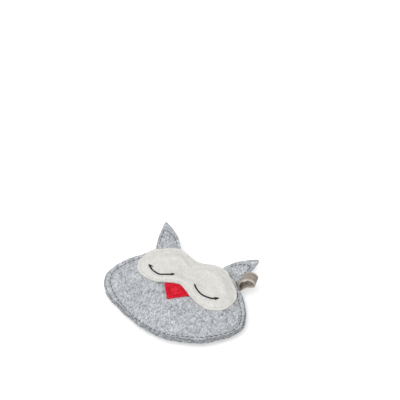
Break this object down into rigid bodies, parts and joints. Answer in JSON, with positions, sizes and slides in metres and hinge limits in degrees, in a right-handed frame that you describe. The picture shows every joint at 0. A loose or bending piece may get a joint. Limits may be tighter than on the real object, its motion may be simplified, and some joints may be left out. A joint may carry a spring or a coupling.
{
  "type": "catnip owl toy",
  "caption": "Flat stuffed felt owl head for a cat: grey panels sewn at the rim, pale mask with sleeping eyes, red beak, two felt ears and a ribbon loop, with catnip inside.",
  "frame": {"origin": "centre of the small flat on the back on which the toy rests, with the face up", "axes": "+Z out of the face, +Y to the top of the head, +X to the right of the face as it is looked at"},
  "size_m": [0.1087, 0.0914, 0.0268],
  "materials": {
    "grey_felt": "soft needled felt, mid grey melange, matt",
    "pale_felt": "soft felt, warm off-white, matt",
    "red_felt": "soft felt, bright red, matt",
    "grey_thread": "spun sewing thread, dark grey",
    "pale_thread": "spun sewing thread, off-white",
    "red_thread": "spun sewing thread, red",
    "black_thread": "stranded embroidery thread, black, slight sheen",
    "beige_ribbon": "woven satin ribbon, beige, soft sheen, bare",
    "white_wadding": "loose polyester wadding, white",
    "sachet_cotton": "thin plain-woven cotton, natural",
    "dried_herb": "dried crushed leaves, dull green"
  },
  "bodies": {
    "head": {"front_panel": "grey_felt", "back_panel": "grey_felt", "front_wadding": "white_wadding", "back_wadding": "white_wadding", "sachet_front_cloth": "sachet_cotton", "sachet_back_cloth": "sachet_cotton", "dried_catnip": "dried_herb", "eye_mask": "pale_felt", "beak": "red_felt", "mask_stitching": "pale_thread", "beak_stitching": "red_thread", "left_eye_embroidery": "black_thread", "right_eye_embroidery": "black_thread", "rim_seam_front": "grey_thread", "rim_seam_back": "grey_thread", "left_ear_root": "grey_felt", "right_ear_root": "grey_felt", "ribbon_root": "beige_ribbon"},
    "left_ear": {"left_ear_front": "grey_felt", "left_ear_back": "grey_felt", "left_ear_stitching_front": "grey_thread", "left_ear_stitching_back": "grey_thread"},
    "right_ear": {"right_ear_front": "grey_felt", "right_ear_back": "grey_felt", "right_ear_stitching_front": "grey_thread", "right_ear_stitching_back": "grey_thread"},
    "ribbon": {"ribbon_loop": "beige_ribbon"}
  },
  "joints": [
    {"name": "left_ear_flop", "type": "hinge", "parent": "head", "child": "left_ear", "pos_m": [-0.02718, 0.03441, 0.00865], "axis": [0.8796, 0.4757, 0], "range_deg": [-12, 80], "stiffness_Nm_per_rad": 0.003},
    {"name": "right_ear_flop", "type": "hinge", "parent": "head", "child": "right_ear", "pos_m": [0.02372, 0.03697, 0.00865], "axis": [0.9415, -0.3369, 0], "range_deg": [-12, 80], "stiffness_Nm_per_rad": 0.003},
    {"name": "ribbon_flap", "type": "hinge", "parent": "head", "child": "ribbon", "pos_m": [0.0338, 0.02986, 0.00865], "axis": [0.8221, -0.5693, 0], "range_deg": [-50, 14], "stiffness_Nm_per_rad": 0.0005}
  ]
}
